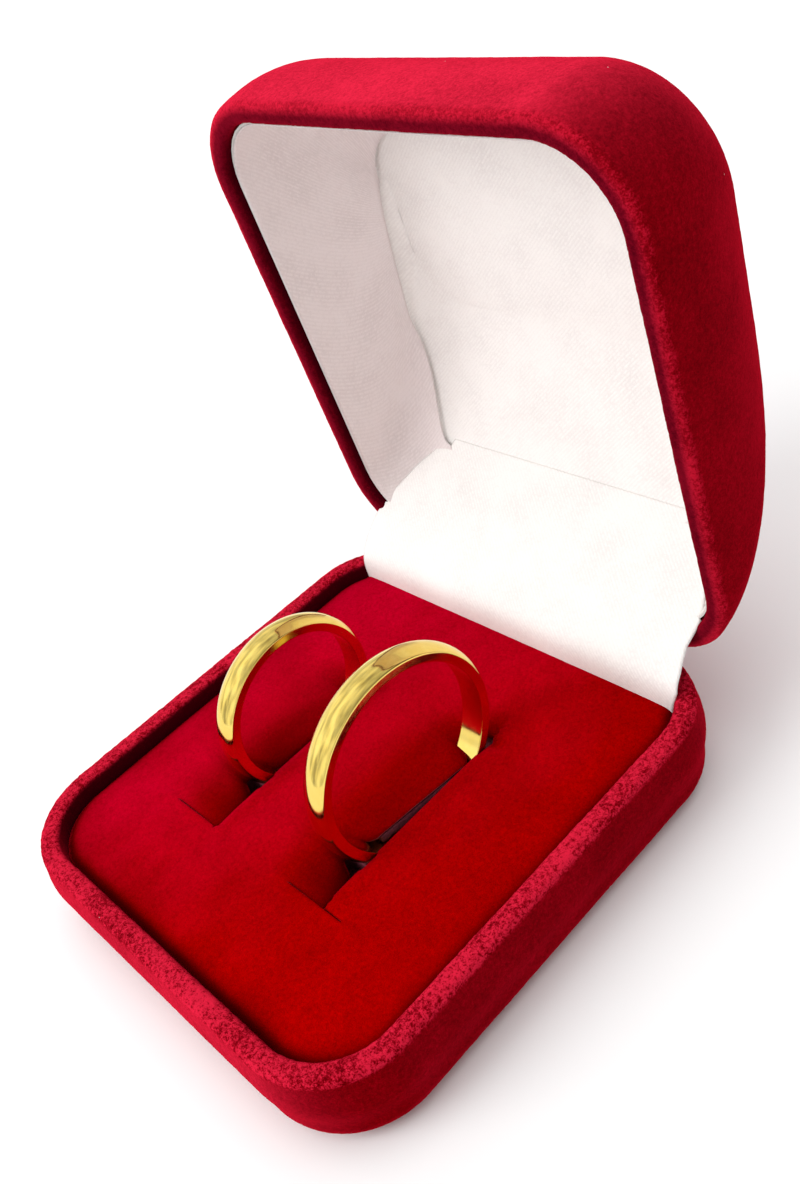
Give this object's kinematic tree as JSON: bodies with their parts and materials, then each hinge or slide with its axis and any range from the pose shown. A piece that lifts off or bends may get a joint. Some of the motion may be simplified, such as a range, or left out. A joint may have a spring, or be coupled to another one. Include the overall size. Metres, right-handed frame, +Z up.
{
  "type": "wedding bands in hinged ring case",
  "caption": "Plain gold wedding bands standing in the slotted pad of an open, velvet-covered, satin-lined hinged ring case.",
  "frame": {"origin": "centre of the base's underside, on the surface the case stands on", "axes": "+Z up, -Y towards the front where the case opens, +X along the hinge to the right"},
  "size_m": [0.056, 0.0759, 0.0701],
  "materials": {
    "gold": "polished yellow gold",
    "velvet": "deep red short-pile velvet",
    "pad_velvet": "red flocked velvet",
    "satin": "white twill satin",
    "foam": "soft foam",
    "wadding": "thin wadding",
    "card": "plain card",
    "underside_paper": "matt lining paper",
    "shell": "moulded",
    "hinge_steel": "plated"
  },
  "bodies": {
    "base": {"base_shell": "shell", "base_velvet_cover": "velvet", "base_underside_sheet": "underside_paper", "pad_board": "card", "ring_pad_foam": "foam", "ring_pad_velvet": "pad_velvet", "hinge_leaf_base": "hinge_steel", "hinge_rivets_base": "hinge_steel", "hinge_pin": "hinge_steel", "hinge_spring": "hinge_steel", "satin_hinge_flap": "satin"},
    "lid": {"lid_shell": "shell", "lid_velvet_cover": "velvet", "hinge_leaf_lid": "hinge_steel", "hinge_rivets_lid": "hinge_steel", "lid_top_card": "card", "lid_top_wadding": "wadding", "lid_top_satin": "satin", "lid_side_card": "card", "lid_side_satin": "satin"},
    "band_large": {"band_large": "gold"},
    "band_small": {"band_small": "gold"}
  },
  "joints": [
    {"name": "lid_hinge", "type": "hinge", "parent": "base", "child": "lid", "pos_m": [0, 0.02925, 0.011], "axis": [1, 0, 0], "range_deg": [0, 85.5], "deforming": ["satin_hinge_flap", "hinge_spring"]},
    {"name": "band_large_lift", "type": "slide", "parent": "base", "child": "band_large", "axis": [0, 0, 1], "range_m": [0, 0.035]},
    {"name": "band_small_lift", "type": "slide", "parent": "base", "child": "band_small", "axis": [0, 0, 1], "range_m": [0, 0.035]}
  ]
}
